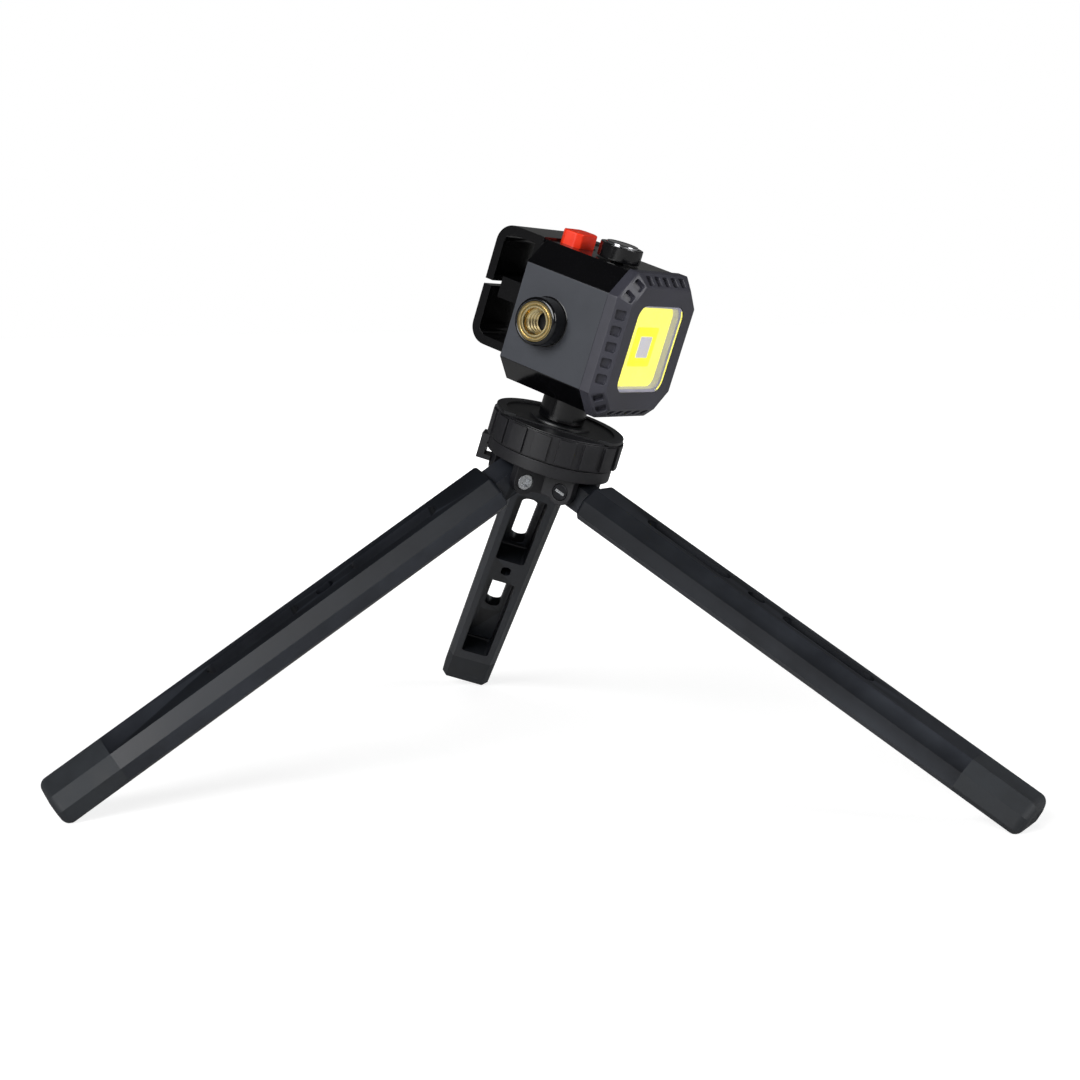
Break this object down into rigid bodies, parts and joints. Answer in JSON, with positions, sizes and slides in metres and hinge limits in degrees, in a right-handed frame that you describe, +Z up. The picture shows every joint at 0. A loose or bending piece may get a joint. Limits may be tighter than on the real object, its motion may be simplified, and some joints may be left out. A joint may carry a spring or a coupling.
{
  "type": "work light on folding tripod",
  "caption": "Compact square work light with strap clip, side thread, button and dimmer knob, on a folding mini tripod with splayed channel legs and rubber feet.",
  "frame": {"origin": "middle of the bounding box, on the ground plane under the feet", "axes": "+Z up; +X along the longest extent, towards the wide-open leg; +Y towards the rear leg"},
  "size_m": [0.2276, 0.194, 0.1359],
  "materials": {
    "leg": "anodised black, fine bead blast",
    "rubber": "moulded soft rubber",
    "black_metal": "anodised black",
    "black_plastic": "fine spark-eroded texture",
    "gloss_plastic": "gloss black",
    "steel": "bright zinc plate",
    "brass": "turned",
    "red_plastic": "gloss orange-red",
    "nylon": "natural nylon",
    "lens": "clear polycarbonate",
    "frame_silver": "vacuum metallised",
    "phosphor": "silicone phosphor",
    "phosphor_core": "silicone phosphor",
    "chip": "ceramic chip carrier",
    "board": "solder mask",
    "white_board": "white solder mask on aluminium",
    "sink": "mill finish",
    "cell": "shrink sleeve"
  },
  "bodies": {
    "hub": {"hub_collar": "black_metal", "lanyard_hook": "black_plastic", "hinge_screw_rear": "steel", "hinge_nut_rear": "steel", "hinge_washer_rear_near": "nylon", "hinge_washer_rear_far": "nylon", "hinge_screw_left": "steel", "hinge_nut_left": "steel", "hinge_washer_left_near": "nylon", "hinge_washer_left_far": "nylon", "hinge_screw_right": "steel", "hinge_nut_right": "steel", "hinge_washer_right_near": "nylon", "hinge_washer_right_far": "nylon"},
    "mount_ring": {"grip_ring": "black_plastic", "platform_disc": "black_plastic", "tripod_screw": "steel", "spindle_clip": "steel"},
    "leg_rear": {"leg_rear": "leg", "foot_rear": "rubber"},
    "leg_left": {"leg_left": "leg", "foot_left": "rubber"},
    "leg_right": {"leg_right": "leg", "foot_right": "rubber"},
    "button": {"mode_button": "red_plastic"},
    "knob": {"dimmer_knob": "gloss_plastic", "knob_cap": "steel"},
    "light_head": {"head_shell": "black_plastic", "base_insert": "brass", "side_insert": "brass", "front_bezel": "black_plastic", "window_seal": "rubber", "window_lens": "lens", "reflector_frame": "frame_silver", "led_board": "white_board", "light_field": "phosphor", "light_core": "phosphor_core", "light_chip": "chip", "heat_sink": "sink", "circuit_board": "board", "button_switch": "black_plastic", "dimmer": "black_plastic", "battery_cell": "cell", "bracket_screw_near": "steel", "bracket_screw_far": "steel", "strap_bracket": "gloss_plastic"}
  },
  "joints": [
    {"name": "leg_left_hinge", "type": "hinge", "parent": "hub", "child": "leg_left", "pos_m": [-0.00215, -0.02949, 0.07616], "axis": [-0.4316, 0.8588, 0.276], "range_deg": [-44.62, 34.38]},
    {"name": "leg_right_hinge", "type": "hinge", "parent": "hub", "child": "leg_right", "pos_m": [0.01273, -0.02959, 0.07152], "axis": [-0.5229, -0.8521, 0.022], "range_deg": [-78.28, 0.72]},
    {"name": "leg_rear_hinge", "type": "hinge", "parent": "hub", "child": "leg_rear", "pos_m": [0.006, -0.01621, 0.07582], "axis": [0.9545, -0.0067, -0.298], "range_deg": [-46.84, 32.16]},
    {"name": "ring_spin", "type": "hinge", "parent": "hub", "child": "mount_ring", "pos_m": [0.00993, -0.02743, 0.08865], "axis": [0.2934, -0.1557, 0.9432], "continuous": true},
    {"name": "head_turn", "type": "hinge", "parent": "mount_ring", "child": "light_head", "pos_m": [0.00993, -0.02743, 0.08865], "axis": [0.2934, -0.1557, 0.9432], "continuous": true},
    {"name": "button_press", "type": "slide", "parent": "light_head", "child": "button", "axis": [-0.2934, 0.1557, -0.9432], "range_m": [0, 0.0009], "stiffness_N_per_m": 900, "springref_m": -0.0008},
    {"name": "knob_turn", "type": "hinge", "parent": "light_head", "child": "knob", "pos_m": [0.02363, -0.03899, 0.1269], "axis": [0.2934, -0.1557, 0.9432], "range_deg": [-135, 135]}
  ]
}
